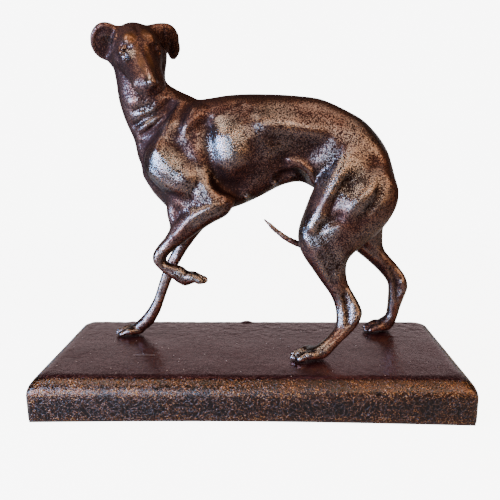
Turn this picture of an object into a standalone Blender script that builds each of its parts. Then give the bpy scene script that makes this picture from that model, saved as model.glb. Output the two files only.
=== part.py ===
"""Cast iron greyhound on an oblong plinth, one fore paw raised, looking back over its shoulder.

Metres, +Z up.  The origin is the centre of the plinth's underside.  The dog faces -X with its
near side towards -Y, and turns its head towards -Y as well.  Two pieces: the figure, cast in
one with its legs, ears and tail, and the hollow plinth that it is set on.

The figure is modelled like a clay sketch.  Body, neck and limbs are lofts of oval sections
whose front and back (or top and underside) are given in the side view.  Muscles, toes and
ears are ovals laid on them.  All of it is fused into one skin, softened, carved with broad
strokes and thinned to a light faceted solid.
"""
import math

import bmesh
import bpy
import numpy as np
from mathutils import Matrix, Vector

# Sizes, in metres.
PLINTH_LENGTH = 0.2650         # along X
PLINTH_DEPTH = 0.110           # along Y
PLINTH_HEIGHT = 0.027
PLINTH_EDGE_RADIUS = 0.0102    # round-over of the top edges
PLINTH_CORNER_RADIUS = 0.0040  # upright corners, in plan, at the foot
PLINTH_TOP_CORNER = 0.0080     # and round the flat top
PLINTH_WALL = 0.0055           # thickness of the hollow casting
FIGURE_HEIGHT = 0.207          # plinth top to the crown of the head
FIGURE_SET_BACK = 0.005        # the dog's midline lies this far behind the plinth's
SEAT_GAP = 0.0003              # joint line between the paws and the plinth's top
SKIN_GRAIN = 0.0010            # mesh size of the fused skin before it is thinned
FIGURE_TRIANGLES = 8300        # what the thinning leaves

# The figure's own drawing is in units of 1/207 of its height, so 1 unit is 1 mm at the
# height above.  x runs along the plinth from its middle, z up from its top, y from the
# dog's midline, with the near side negative.
DRAWN_HEIGHT = 207.0
UNIT = FIGURE_HEIGHT / DRAWN_HEIGHT

# The drawing.
# Body: top x, z; underside x, z; half width.
TRUNK = [(-66, 141, -69.1, 114, 9), (-57, 152, -61.1, 101, 15.5), (-44, 159.5, -50, 90, 19.5),
         (-28, 161, -32, 88.5, 21.5), (-10, 163.5, -12, 92.3, 22.5), (10, 163.5, 6, 99.7, 21.5),
         (27, 162.5, 20, 107, 18.5), (44, 160.2, 32, 109, 16.5), (60, 153.2, 44, 103.5, 16.5),
         (72, 146, 60, 98, 16.5), (83.1, 133.5, 74, 94, 14.5), (90.1, 119, 83, 92, 10.5),
         (92.3, 105.5, 88, 97, 5)]
# Neck: throat x, z; nape x, z; y; half width.
NECK = [(-65, 112, -28, 158, 0, 16), (-70.9, 124, -34, 162, 0, 15.5),
        (-73.1, 136, -40, 164.5, 0, 14.5), (-78.0, 148, -46, 167.5, 0, 14),
        (-81.0, 160, -51, 171, -1, 13.5), (-81.5, 170, -51.5, 176, -2, 13.5),
        (-82.5, 178, -49.8, 183, -3, 13.5), (-83, 186, -49.2, 190, -4, 13.5)]
# Legs: front x, z; back x, z; y; half thickness.
NEAR_HIND = [(60, 131, 77, 127, -4, 5.5), (50, 124, 90, 114, -9.5, 11), (40, 108, 92, 99, -12, 12.5),
             (35, 96, 87, 87, -13, 12.5), (31, 85, 80, 78.5, -14, 11.5), (29.5, 76, 71, 71, -14.5, 10),
             (32.2, 66, 63.3, 64, -15, 8.5), (38.8, 56, 60.6, 57, -15, 7.2),
             (44.7, 47.3, 61.8, 47, -15.5, 6.2), (50.5, 39.3, 66.1, 39, -16.5, 5.3),
             (53.5, 32, 70.3, 31.5, -17.5, 4.8), (54.3, 25.5, 71.1, 26, -19, 4.6),
             (53.5, 19, 66.6, 18.5, -21, 4.4), (49.7, 15, 59.3, 12, -23.5, 4.4),
             (45.5, 11.5, 54, 7.5, -25.5, 4.8), (40.5, 8, 50, 3, -26.5, 5.6)]
FAR_HIND = [(60, 131, 77, 127, 4, 5.5), (54, 120, 91, 112, 9.5, 10.5), (50, 104, 93.5, 97, 13, 12),
            (48, 92, 91.5, 87, 15, 11.5), (50, 80, 90, 79, 17, 10), (57.5, 70, 89.8, 71, 18.5, 8.5),
            (71, 60.3, 90.3, 64, 19.5, 7), (82.3, 51, 93, 58.5, 20, 6),
            (90.3, 43, 100.6, 50, 20.5, 5.3), (94.8, 36.5, 106.8, 42, 20.5, 4.8),
            (95.5, 30.5, 109.3, 34.5, 20.5, 4.6), (95.5, 25, 107.6, 27.5, 21, 4.4),
            (95.5, 18, 105, 18.5, 22, 4.3), (95, 12, 103.7, 11, 23, 4.5), (90, 8.4, 101.5, 4, 23.5, 5)]
RAISED_FORE = [(-34, 116, -8, 100, -15, 9.5), (-40, 99, -13.1, 91.0, -17, 9),
               (-45.5, 90, -22.6, 86.0, -17.5, 8), (-49, 84, -31, 80.5, -17.5, 7),
               (-52.5, 77.5, -42.5, 72.4, -17.5, 5.8), (-58, 71.5, -50.4, 66.2, -17, 5.1),
               (-61.3, 66, -53, 62, -17, 5), (-61.3, 61, -52.5, 60, -16.5, 5),
               (-57.5, 56, -50.5, 60, -16, 4.6), (-52, 51.3, -47, 59, -16, 4.3),
               (-45.5, 48, -41, 57.2, -16, 4.6)]
FAR_FORE = [(-44, 112, -10, 101, 14, 9.5), (-47.5, 92, -21, 88, 15, 8), (-48.8, 78, -33, 76, 15, 5.8),
            (-52, 66, -42, 65, 15, 4.6), (-56.5, 58, -47.3, 57, 15, 4.3),
            (-60.8, 50, -52, 49, 15, 4.2), (-65.2, 38, -57.3, 37, 15, 4),
            (-68.7, 28, -61.2, 27, 15, 3.9), (-73.5, 19.5, -65, 17, 15, 4.1),
            (-78.7, 13, -69.5, 9, 15.2, 4.6), (-84, 8.5, -74.5, 4, 15.5, 5.2)]
# Tail: x, z, y, radius.  It hangs down between the thighs and kicks forward.
TAIL = [(88, 110, 1, 5), (85, 94, 1, 4.2), (76, 79, 0, 3.4), (64, 69.5, -1, 2.9),
        (50, 64.5, -1, 2.6), (38, 66, 0, 2.3), (28, 70, 0, 1.8), (21, 74, 0, 1.5),
        (13.5, 80.5, 0, 1.1), (8.5, 85.5, 0, 0.7)]
# Paws: heel, toe (x, y, z each), the way that the paw's back faces, width, height.
PAWS = [((50, -26, 0), (25, -27, 0), (0, 0, 1), 15.5, 7.4),
        ((101, 24.5, 0), (79, 23, 0), (0, 0, 1), 14.5, 7.2),
        ((-76.5, 15.8, 0), (-97.5, 14.8, 0), (0, 0, 1), 14.0, 6.4),
        ((-49, -16, 46.2), (-26.5, -16, 46.2), (0.1, 0, 1), 10.5, 8.2)]
# Muscles and bones, ovals from end to end: x, z; x, z; y; half depth; half width.
MUSCLES = [(-24, 155, -56, 124, -11, 12, 10), (-24, 155, -56, 124, 11, 12, 10),     # shoulder blade
           (-60, 134, -36, 106, -14, 15, 10.5), (-60, 134, -36, 106, 13, 15, 10.5), # point of shoulder
           (-40, 127, -12, 99, -13, 11, 9.5), (-40, 127, -12, 99, 12.5, 11, 9.5),   # triceps
           (-50, 126, -28, 102, -14, 13, 10.6), (-50, 126, -28, 102, 13, 13, 10.6), # and its head
           (-52, 106, -20, 91, -14, 9, 9), (-54, 108, -24, 92, 12, 10, 9),          # upper arm
           (-66, 126, -50, 100, 0, 9, 11),                                          # breast
           (-51, 99, -46, 81, -14, 4.5, 5.5), (-51, 101, -45, 82, 6, 5.5, 12),      # breast to arm
           (-44, 48.6, -39, 46.2, -16, 3, 3),                                         # pad of the raised paw
           (74, 122, 87, 98, -8, 9, 9), (74, 122, 88, 98, 8, 9, 9)]                 # seat bone


# Lofts and ovals.
def smooth_run(rows, steps):
    """Rows of numbers joined by a smooth curve through each of them."""
    rows = np.array(rows, dtype=float)
    ends = np.vstack([2 * rows[0] - rows[1], rows, 2 * rows[-1] - rows[-2]])
    out = []
    for i in range(1, len(ends) - 2):
        p0, p1, p2, p3 = ends[i - 1:i + 3]
        for t in np.arange(steps) / steps:
            out.append(0.5 * (2 * p1 + (p2 - p0) * t + (2 * p0 - 5 * p1 + 4 * p2 - p3) * t ** 2
                              + (3 * p1 - p0 - 3 * p2 + p3) * t ** 3))
    out.append(rows[-1])
    return out


def loft(bm, sections, sides=20, egg=0.0):
    """Skin over oval sections (centre, half axis, other half axis).  Egg fattens one end."""
    rings = []
    for centre, first, second in sections:
        made = bmesh.ops.create_circle(bm, radius=1.0, segments=sides)["verts"]
        for vert in made:
            c, s = vert.co.x, vert.co.y
            vert.co = centre + first * c + second * (s * (1.0 + egg * c))
        rings.append(made)
    for a, b in zip(rings[:-1], rings[1:]):
        for i in range(sides):
            j = (i + 1) % sides
            bm.faces.new((a[i], a[j], b[j], b[i]))
    bm.faces.new(rings[0][::-1])
    bm.faces.new(rings[-1])


def side_loft(bm, rows, egg=0.0, sides=20, steps=4):
    """Loft drawn in the side view: front x, z, back x, z, then y and half thickness."""
    sections = []
    for fx, fz, bx, bz, y, half in smooth_run(rows, steps):
        front, back = Vector((fx, y, fz)), Vector((bx, y, bz))
        sections.append(((front + back) / 2, (front - back) / 2, Vector((0, half, 0))))
    loft(bm, sections, sides, egg)


def tube(bm, rows, sides=10, steps=4):
    """Round tapered tail along x, z, y, radius."""
    run = smooth_run(rows, steps)
    sections = []
    for i, (x, z, y, r) in enumerate(run):
        before, after = run[max(i - 1, 0)], run[min(i + 1, len(run) - 1)]
        way = Vector((after[0] - before[0], after[2] - before[2], after[1] - before[1])).normalized()
        side = way.cross(Vector((0, 1, 0))).normalized()
        sections.append((Vector((x, y, z)), side * r, side.cross(way).normalized() * r))
    loft(bm, sections, sides)


def oval(bm, centre, axes):
    """Ellipsoid with three half axes given as vectors."""
    turn = Matrix([list(a) for a in axes]).transposed().to_4x4()
    bmesh.ops.create_uvsphere(bm, u_segments=20, v_segments=12, radius=1.0,
                              matrix=Matrix.Translation(centre) @ turn)


def muscle(bm, x0, z0, x1, z1, y, depth, width):
    """Oval laid along a line in the side view."""
    a, b = Vector((x0, y, z0)), Vector((x1, y, z1))
    way = (b - a) / 2
    across = way.cross(Vector((0, 1, 0))).normalized() * depth
    oval(bm, (a + b) / 2, (way, across, Vector((0, width, 0))))


def paw(bm, heel, toe, up, width, height):
    """Instep and four arched toes with short claws, the middle pair longer."""
    heel, toe, up = Vector(heel), Vector(toe), Vector(up).normalized()
    length = (toe - heel).length
    way = (toe - heel) / length
    side = up.cross(way).normalized()
    up = way.cross(side)
    at = lambda l, s, h: heel + way * (l * length) + side * (s * width) + up * (h * height)
    oval(bm, at(0.36, 0, 0.50), (way * (0.36 * length), side * (0.40 * width), up * (0.58 * height)))
    for spread, reach in ((-1.5, 0.86), (-0.5, 1.0), (0.5, 1.0), (1.5, 0.86)):
        knuckle, tip = reach - 0.34, reach - 0.12
        oval(bm, at(knuckle, spread * 0.235, 0.58),
             (way * (0.20 * length), side * (0.150 * width), up * (0.40 * height)))
        oval(bm, at(tip, spread * 0.25, 0.34),
             (way * (0.12 * length), side * (0.125 * width), up * (0.34 * height)))
        oval(bm, at(reach - 0.01, spread * 0.25, 0.16),
             (way * (0.06 * length), side * (0.060 * width), up * (0.13 * height)))


# The head.
# Drawn in its own frame: u towards the nose, v towards the dog's left, w up from the brow.
HEAD_AT = Vector((-67.3, -7.0, 193.4))
HEAD_TURN, HEAD_DIP, HEAD_TILT = math.radians(25.2), math.radians(35.2), math.radians(6.3)
HEAD_SCALE = 0.971
# Skull and muzzle: u; top w; underside w; half width.
HEAD = [(-19, 0, -10, 6), (-15, 5.5, -14, 10.5), (-8, 9.3, -16, 13.8), (0, 10.6, -17, 15.2),
        (7, 10.2, -17, 15.0), (13, 8.4, -16.5, 13.4), (19, 5.4, -15.5, 11.6), (26, 3.2, -14.4, 10.6),
        (33, 2.0, -13.3, 10.0), (39, 0.9, -12.4, 9.2), (43.5, -0.8, -11.0, 7.6), (46, -2.6, -9.2, 5.0)]


def head_axes():
    turn, dip = HEAD_TURN, HEAD_DIP
    u = Vector((math.sin(turn) * math.cos(dip), -math.cos(turn) * math.cos(dip), -math.sin(dip)))
    level = Vector((math.cos(turn), math.sin(turn), 0.0))
    rise = level.cross(u).normalized()
    if rise.z < 0:
        rise = -rise
    v = level * math.cos(HEAD_TILT) + rise * math.sin(HEAD_TILT)
    w = rise * math.cos(HEAD_TILT) - level * math.sin(HEAD_TILT)
    return u * HEAD_SCALE, v * HEAD_SCALE, w * HEAD_SCALE


def head_point(u, v, w):
    a, b, c = head_axes()
    return HEAD_AT + a * u + b * v + c * w


def head_oval(bm, at, half, lean=0.0):
    """Oval in the head's frame, its v and w axes leant by an angle in degrees."""
    a, b, c = head_axes()
    lean = math.radians(lean)
    b2, c2 = b * math.cos(lean) + c * math.sin(lean), c * math.cos(lean) - b * math.sin(lean)
    oval(bm, head_point(*at), (a * half[0], b2 * half[1], c2 * half[2]))


def head(bm):
    a, b, c = head_axes()
    sections = []
    for u, top, low, half in smooth_run(HEAD, 4):
        sections.append((head_point(u, 0, (top + low) / 2), c * ((top - low) / 2), b * half))
    loft(bm, sections, 24, -0.04)
    for s in (-1, 1):
        head_oval(bm, (10, 6.0 * s, 6.4), (5.0, 4.2, 3.4))       # brow
        head_oval(bm, (6, 11.0 * s, -5), (9.0, 5.0, 6.0))        # cheek bone
        head_oval(bm, (-4, 11.0 * s, -12), (8.0, 6.0, 7.0))      # jaw muscle
        head_oval(bm, (13.6, 10.4 * s, 1.8), (3.2, 2.9, 2.6))    # eye
        head_oval(bm, (36, 5.6 * s, -7.5), (8.0, 4.4, 4.6))      # lip
    head_oval(bm, (29, 0, 1.6), (17, 3.6, 2.6))                  # bridge of the nose
    head_oval(bm, (44.5, 0, -2.6), (3.4, 4.8, 3.2))              # nose
    # The dog's right ear is folded back into a round open cup.
    ear(bm, -1, [(-7, 7, 0, 5.0, 7.5), (-8, 12, -4.0, 4.4, 12.6), (-8, 17, -2.8, 3.4, 13.0),
                 (-8.5, 21.4, -2.6, 2.6, 11.4), (-9, 25.0, -2.6, 1.8, 7.4), (-9, 26.5, -2.8, 1.2, 3.2)])
    # Its left ear stands out from the crown and drops over in a flap.
    ear(bm, 1, [(-7, 8, 0.0, 5.0, 7.0), (-8, 14, 0.2, 4.6, 7.6), (-8, 19, -1.4, 4.2, 9.6),
                (-8.5, 23, -2.6, 3.6, 9.9), (-8.5, 26.8, -4.0, 3.0, 8.4), (-8.5, 29.3, -5.0, 1.8, 5.0)])
    flap = [(-8.5, 25.0, -6.0, 3.0, 5.2), (-8.5, 25.8, -10, 2.8, 4.9), (-8.5, 25.8, -14.0, 2.4, 3.8),
            (-8.5, 25.6, -17.6, 1.4, 1.8)]
    sections = []
    for u, v, w, thick, half in smooth_run(flap, 4):
        sections.append((head_point(u, v, w), a * thick, b * half))
    loft(bm, sections, 16)


def ear(bm, hand, rows):
    """Ear growing sideways out of the skull: u, v, w, half thickness, half height."""
    a, b, c = head_axes()
    sections = []
    for u, v, w, thick, half in smooth_run(rows, 4):
        sections.append((head_point(u, v * hand, w), a * thick, c * half))
    loft(bm, sections, 16)


# Carving.
# Strokes in the side view: side of the dog (-1 near, 1 far, 0 both), how far the skin is
# raised or (below nought) sunk, width of the stroke, then its x, z points.
STROKES = [
    (0, 2.0, 15, [(-52, 126), (-44, 112)]),                              # point of shoulder
    (0, -2.0, 9, [(-25, 144), (-24, 130), (-21, 118), (-16, 108)]),      # arm to ribs
    (0, -1.2, 6, [(-20, 116), (-14, 110), (-6, 106)]),
    (0, -1.4, 6, [(-34, 141), (-20, 148), (-4, 157)]),                   # top of the shoulder blade
    (0, 1.8, 17, [(-10, 136), (-8, 124)]),                               # ribs
    (0, -2.0, 13, [(-10, 106), (4, 112), (16, 118)]),                    # below the ribs
    (0, 1.6, 6, [(-41, 157), (-45, 151), (-50, 141), (-54, 131)]),       # neck muscle
    (-1, -1.2, 5, [(-71, 145), (-64, 149), (-57, 152.5), (-51, 157)]),   # neck folds
    (-1, -1.8, 5.5, [(-66, 133), (-59, 141), (-54, 147), (-48, 156)]),
    (-1, -1.5, 6, [(-44, 138), (-42, 146), (-39, 154)]),
    (0, 1.2, 9, [(10, 146), (25, 145), (41, 140)]),                      # loin
    (0, -2.0, 11, [(24, 124), (34, 128), (44, 134)]),                    # flank hollow
    (0, 2.0, 5, [(26, 121), (32, 120), (37, 114), (39, 108)]),           # flank fold
    (0, -2.0, 5, [(18, 112), (27, 114.5), (32, 110), (34, 105)]),
    (0, 2.0, 7, [(61, 128), (54, 117), (46, 103), (37, 84)]),            # front of the thigh
    (0, -1.8, 7.5, [(76, 119), (67, 115), (60, 109), (54, 102), (49, 93)]),  # thigh valleys
    (0, 1.4, 8, [(72, 105), (64, 99)]),
    (0, -1.3, 5, [(78, 110), (75, 101), (71, 93), (64, 84)]),
    (0, -1.6, 5, [(42, 84), (47, 87), (54, 90)]),                        # above the stifle
]
NEAR_LEG_STROKES = [
    (-1.0, 4.5, [(45, 78), (50, 68), (52, 58)]),                         # calf
    (-1.2, 3.4, [(59, 43), (61.5, 36), (62, 28)]),                       # heel cord
]
FAR_LEG_STROKES = [
    (-1.2, 3.4, [(98, 48), (101, 41), (102, 32)]),
]


def stroke_distance(co, points):
    """Distance of every vertex from a line of x, z points, seen from the side."""
    flat = co[:, [0, 2]]
    best = np.full(len(co), 1e9)
    for a, b in zip(points[:-1], points[1:]):
        a, b = np.array(a, float), np.array(b, float)
        t = np.clip(((flat - a) @ (b - a)) / ((b - a) @ (b - a)), 0, 1)
        best = np.minimum(best, np.linalg.norm(flat - (a + t[:, None] * (b - a)), axis=1))
    return best


def carve(co, normals, facing, amount, width, points):
    """Move the skin along its normals, fading out at the stroke's edge."""
    near = np.clip(1 - (stroke_distance(co, points) / width) ** 2, 0, 1) ** 2
    co += normals * (near * facing * amount)[:, None]


def ramp(value, low, high):
    """Rises smoothly from 0 at low to 1 at high."""
    t = np.clip((value - low) / (high - low), 0, 1)
    return t * t * (3 - 2 * t)


def carve_figure(co, normals):
    side, off = normals[:, 1].copy(), co[:, 1].copy()
    high = ramp(co[:, 2], 62, 80)
    for hand, amount, width, points in STROKES:
        for way in ((-1, 1) if hand == 0 else (hand,)):
            facing = ramp(side * way, 0.05, 0.7) * ramp(off * way, -2, 6)
            carve(co, normals, facing * high, amount, width, points)
    for way, strokes, inner in ((-1, NEAR_LEG_STROKES, 2), (1, FAR_LEG_STROKES, 8)):
        for amount, width, points in strokes:
            # both faces of the leg, which is on its own side of the midline
            facing = ramp(np.abs(side), 0.1, 0.7) * ramp(off * way, inner, inner + 4)
            carve(co, normals, facing, amount, width, points)


def carve_head(co, normals):
    a, b, c = (np.array(x) / HEAD_SCALE ** 2 for x in head_axes())
    local = co - np.array(HEAD_AT)
    u, v, w = local @ a, local @ b, local @ c
    near = np.abs(co[:, 1]) < 60
    def dab(cu, cv, cw, ru, rv, rw, amount):
        r = np.sqrt(((u - cu) / ru) ** 2 + ((v - cv) / rv) ** 2 + ((w - cw) / rw) ** 2)
        co[:] += normals * (np.clip(1 - r ** 2, 0, 1) ** 2 * near * amount)[:, None]
    for s in (-1, 1):
        dab(20, 10.5 * s, 2.5, 6.0, 4.0, 5.0, -1.5)       # below the eye, beside the bridge
        dab(11, 12.6 * s, 5.4, 5.0, 3.4, 3.0, -0.8)       # under the brow
        dab(17, 6.5 * s, 5.6, 4.0, 3.0, 3.5, -0.8)        # inner corner
        for i in range(9):                                 # mouth line
            t = i / 8
            dab(44 - 20 * t, (7.0 + 3.6 * t) * s, -9.0 - 1.0 * t, 3.4, 4.0, 1.9, -0.6)
        dab(46.5, 2.8 * s, -2.8, 1.8, 1.6, 1.6, -1.0)     # nostrils
    dab(46.5, 0, -8.4, 3.0, 5.0, 1.9, -1.0)
    dab(-2, -17.5, -2.5, 9.0, 6.5, 8.0, -2.6)             # hollow of the cupped ear
    dab(-2, 24.0, -8.0, 9.0, 3.0, 7.0, -0.8)              # flap


# Fusing, softening, thinning.
def soften(co, edges, rounds, keep=None):
    """Even out the skin without shrinking it."""
    a, b = edges[:, 0], edges[:, 1]
    count = np.bincount(np.concatenate([a, b]), minlength=len(co))[:, None]
    for _ in range(rounds):
        for pull in (0.5, -0.52):
            total = np.zeros_like(co)
            np.add.at(total, a, co[b])
            np.add.at(total, b, co[a])
            step = (total / count - co) * pull
            co += step if keep is None else step * keep[:, None]


def firmness(co):
    """How much each place may be evened out: all of it on the body, little on head and feet."""
    from_head = np.linalg.norm(co - np.array(HEAD_AT), axis=1)
    body = ramp(co[:, 2], 40, 90)
    return (0.12 + 0.88 * body) * (0.10 + 0.90 * ramp(from_head, 26, 48))


def mesh_arrays(mesh):
    co = np.empty(len(mesh.vertices) * 3)
    mesh.vertices.foreach_get("co", co)
    edges = np.empty(len(mesh.edges) * 2, dtype=int)
    mesh.edges.foreach_get("vertices", edges)
    return co.reshape(-1, 3), edges.reshape(-1, 2)


def normals_of(mesh, co):
    mesh.vertices.foreach_set("co", co.ravel())
    mesh.update()
    out = np.empty(len(co) * 3)
    mesh.vertices.foreach_get("normal", out)
    return out.reshape(-1, 3)


def new_object(name, mesh, material):
    thing = bpy.data.objects.new(name, mesh)
    bpy.context.collection.objects.link(thing)
    if material:
        thing.data.materials.append(material)
    return thing


def with_modifiers(thing):
    """The object's shape with its modifiers, as a mesh of its own."""
    bpy.context.view_layer.update()
    return bpy.data.meshes.new_from_object(thing.evaluated_get(bpy.context.evaluated_depsgraph_get()))


def to_world(co):
    """From the drawing's units to metres on the plinth."""
    return co * UNIT + np.array([0.0, FIGURE_SET_BACK, PLINTH_HEIGHT])


def greyhound(material):
    bm = bmesh.new()
    side_loft(bm, [(tx, tz, ux, uz, 0, half) for tx, tz, ux, uz, half in TRUNK], 0.10, 28)
    side_loft(bm, NECK, 0, 24)
    for leg in (NEAR_HIND, FAR_HIND, RAISED_FORE, FAR_FORE):
        side_loft(bm, leg)
    for row in MUSCLES:
        muscle(bm, *row)
    for row in PAWS:
        paw(bm, *row)
    head(bm)
    bmesh.ops.recalc_face_normals(bm, faces=bm.faces)
    clay = bpy.data.meshes.new("greyhound_clay")
    bm.to_mesh(clay)
    bm.free()
    rough = new_object("greyhound_clay", clay, None)
    fuse = rough.modifiers.new("fuse", "REMESH")
    fuse.mode, fuse.voxel_size, fuse.adaptivity = "VOXEL", SKIN_GRAIN / UNIT, 0.0
    skin = with_modifiers(rough)
    bpy.data.objects.remove(rough)

    co, edges = mesh_arrays(skin)
    soften(co, edges, 4)
    soften(co, edges, 50, firmness(co))
    normals = normals_of(skin, co)
    carve_figure(co, normals)
    carve_head(co, normals)
    soften(co, edges, 3)
    soften(co, edges, 20, firmness(co))
    co = to_world(co)
    co[:, 2] = np.maximum(co[:, 2], PLINTH_HEIGHT + SEAT_GAP)      # soles lie flat on the plinth
    skin.vertices.foreach_set("co", co.ravel())
    skin.update()
    skin.name = "greyhound"

    figure = new_object("greyhound", skin, material)
    thin = figure.modifiers.new("thin", "DECIMATE")
    thin.ratio = min(1.0, FIGURE_TRIANGLES / (2.0 * len(skin.polygons)))
    lean = with_modifiers(figure)
    figure.modifiers.remove(thin)
    lean.name = "greyhound"
    figure.data = lean
    floor_level(lean)

    tail_bm = bmesh.new()
    tube(tail_bm, TAIL)
    for vert in tail_bm.verts:
        vert.co = Vector(to_world(np.array(vert.co)))
    bmesh.ops.recalc_face_normals(tail_bm, faces=tail_bm.faces)
    tail_mesh = bpy.data.meshes.new("tail_guide")
    tail_bm.to_mesh(tail_mesh)
    tail_bm.free()
    tail = new_object("tail_guide", tail_mesh, None)
    tail.hide_render, tail.display_type = True, "WIRE"
    join = figure.modifiers.new("tail", "BOOLEAN")
    join.operation, join.object, join.solver = "UNION", tail, "EXACT"
    for face in figure.data.polygons:
        face.use_smooth = True
    return figure


def floor_level(mesh):
    """No corner of the thinned skin sinks below the soles."""
    for vert in mesh.vertices:
        vert.co.z = max(vert.co.z, PLINTH_HEIGHT + SEAT_GAP)


# The plinth.
def outline(bm, half_x, half_y, corner, z, segments):
    """Ring of an oblong with rounded corners."""
    ring = []
    for quarter in range(4):
        sx, sy = ((1, 1), (-1, 1), (-1, -1), (1, -1))[quarter]
        for i in range(segments + 1):
            turn = math.pi / 2 * (quarter + i / segments)
            ring.append(bm.verts.new((sx * (half_x - corner) + corner * math.cos(turn),
                                      sy * (half_y - corner) + corner * math.sin(turn), z)))
    return ring


def shell(bm, wall, steps, segments):
    """Rings of the plinth's skin, lying a wall's thickness inside its outer faces."""
    radius = max(PLINTH_EDGE_RADIUS - wall, 0.0005)
    rings = []
    for i in range(-1, steps + 1):
        turn = math.pi / 2 * max(i, 0) / steps
        inset = wall + radius * (1 - math.cos(turn))
        z = 0.0 if i < 0 else PLINTH_HEIGHT - wall - radius + radius * math.sin(turn)
        rise = max(i, 0) / steps
        corner = PLINTH_CORNER_RADIUS + (PLINTH_TOP_CORNER - PLINTH_CORNER_RADIUS) * rise
        rings.append(outline(bm, PLINTH_LENGTH / 2 - inset, PLINTH_DEPTH / 2 - inset,
                             corner, z, segments))
    return rings


def plinth(material):
    bm = bmesh.new()
    outer, inner = shell(bm, 0.0, 8, 5), shell(bm, PLINTH_WALL, 3, 5)
    for rings in (outer, inner, [outer[0], inner[0]]):
        for a, b in zip(rings[:-1], rings[1:]):
            for i in range(len(a)):
                j = (i + 1) % len(a)
                bm.faces.new((a[i], a[j], b[j], b[i]))
    bm.faces.new(outer[-1])
    bm.faces.new(inner[-1])
    bmesh.ops.recalc_face_normals(bm, faces=bm.faces)
    mesh = bpy.data.meshes.new("plinth")
    bm.to_mesh(mesh)
    bm.free()
    mesh.shade_smooth()
    mesh.set_sharp_from_angle(angle=math.radians(35))
    return new_object("plinth", mesh, material)


def metal(name, colour, roughness):
    material = bpy.data.materials.new(name)
    material.use_nodes = True
    shader = material.node_tree.nodes["Principled BSDF"]
    shader.inputs["Base Color"].default_value = (*colour, 1.0)
    shader.inputs["Roughness"].default_value = roughness
    shader.inputs["Metallic"].default_value = 0.8
    return material


for old in list(bpy.data.objects):
    bpy.data.objects.remove(old)
greyhound(metal("cast iron, bronzed", (0.120, 0.062, 0.040), 0.45))
plinth(metal("cast iron, dark bronzed", (0.060, 0.034, 0.030), 0.42))
bpy.context.view_layer.update()
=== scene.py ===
# %% [markdown]
# # A cast iron greyhound
# The statue is a sand casting: a lean dog on an oblong plinth, painted with a dark
# purple-brown bronzing lacquer that has been rubbed off the high points, so that copper
# shows there.  The solids under it already have the pose, the outline and the big muscles.
# This lesson adds what a sculptor and a foundry would add: a finer skin, sinews, a face,
# toes, and then the lacquer and the grain of the sand.

import math

import bmesh
import bpy
import numpy as np
from mathutils import Matrix, Vector


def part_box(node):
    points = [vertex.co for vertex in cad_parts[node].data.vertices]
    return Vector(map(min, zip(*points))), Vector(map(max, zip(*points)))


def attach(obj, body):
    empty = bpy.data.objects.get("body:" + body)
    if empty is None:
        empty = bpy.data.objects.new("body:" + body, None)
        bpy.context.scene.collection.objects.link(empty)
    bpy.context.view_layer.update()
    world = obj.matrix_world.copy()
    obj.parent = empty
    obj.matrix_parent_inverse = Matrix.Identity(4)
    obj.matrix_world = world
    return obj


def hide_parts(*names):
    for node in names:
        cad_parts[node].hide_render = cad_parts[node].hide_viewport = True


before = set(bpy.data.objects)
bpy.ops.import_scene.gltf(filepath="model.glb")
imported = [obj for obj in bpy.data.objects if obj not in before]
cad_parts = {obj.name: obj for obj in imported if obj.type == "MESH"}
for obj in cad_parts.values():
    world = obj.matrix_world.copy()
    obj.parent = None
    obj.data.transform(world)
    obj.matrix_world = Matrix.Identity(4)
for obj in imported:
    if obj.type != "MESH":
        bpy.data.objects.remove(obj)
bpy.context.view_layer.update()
print("solids:", {name: len(node.data.polygons) for name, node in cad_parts.items()})

# %% [markdown]
# ## The camera
# The picture was taken from close by, a little above the dog's back, so the plinth's sides
# run together towards the back.  A camera is placed by a point and three turns.  The lens
# follows from the picture's angle of view: 534 pixels of distance for 500 pixels of width.

# %% Camera
FILM_WIDTH = 36.0                             # millimetres
PICTURE_WIDTH, EYE_DISTANCE = 500, 534        # pixels
CAMERA_AT = (0.0113, -0.3382, 0.1663)         # metres
YAW, PITCH, ROLL = 0.0345, 0.2139, -0.0103    # radians


def place_camera(at, yaw, pitch, roll, lens):
    """Camera at a point.  It looks along +Y when all three turns are nought."""
    forward = Vector((-math.sin(yaw) * math.cos(pitch), math.cos(yaw) * math.cos(pitch), -math.sin(pitch)))
    right = Vector((math.cos(yaw), math.sin(yaw), 0.0))
    up = right.cross(forward)
    right, up = (right * math.cos(roll) + up * math.sin(roll),
                 up * math.cos(roll) - right * math.sin(roll))
    camera = bpy.data.objects.new("camera", bpy.data.cameras.new("camera"))
    camera.data.lens, camera.data.sensor_width, camera.data.clip_start = lens, FILM_WIDTH, 0.01
    camera.matrix_world = Matrix([[right[i], up[i], -forward[i], at[i]] for i in range(3)] + [[0, 0, 0, 1]])
    bpy.context.collection.objects.link(camera)
    return camera


camera = place_camera(CAMERA_AT, YAW, PITCH, ROLL, EYE_DISTANCE / PICTURE_WIDTH * FILM_WIDTH)
bpy.context.scene.camera = camera
print("lens", round(camera.data.lens, 2), "mm")

# %% [markdown]
# ## Small tools for materials
# Colours are easiest to pick as the hex values of a paint program, but a shader wants
# linear light, so one function turns them.  Another adds a node with its settings and
# links in one line, which keeps a material readable from top to bottom.

# %% Colour and node helpers
def tint(code):
    """Linear colour from an sRGB hex value such as 5a3a2a."""
    parts = [int(code[i:i + 2], 16) / 255 for i in (0, 2, 4)]
    return [c / 12.92 if c <= 0.04045 else ((c + 0.055) / 1.055) ** 2.4 for c in parts] + [1.0]


def feed(tree, node, inputs):
    """Give each named input of a node a value, or another node's output."""
    for name, value in inputs.items():
        if isinstance(value, bpy.types.NodeSocket):
            tree.links.new(value, node.inputs[name])
        else:
            node.inputs[name].default_value = value


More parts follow.
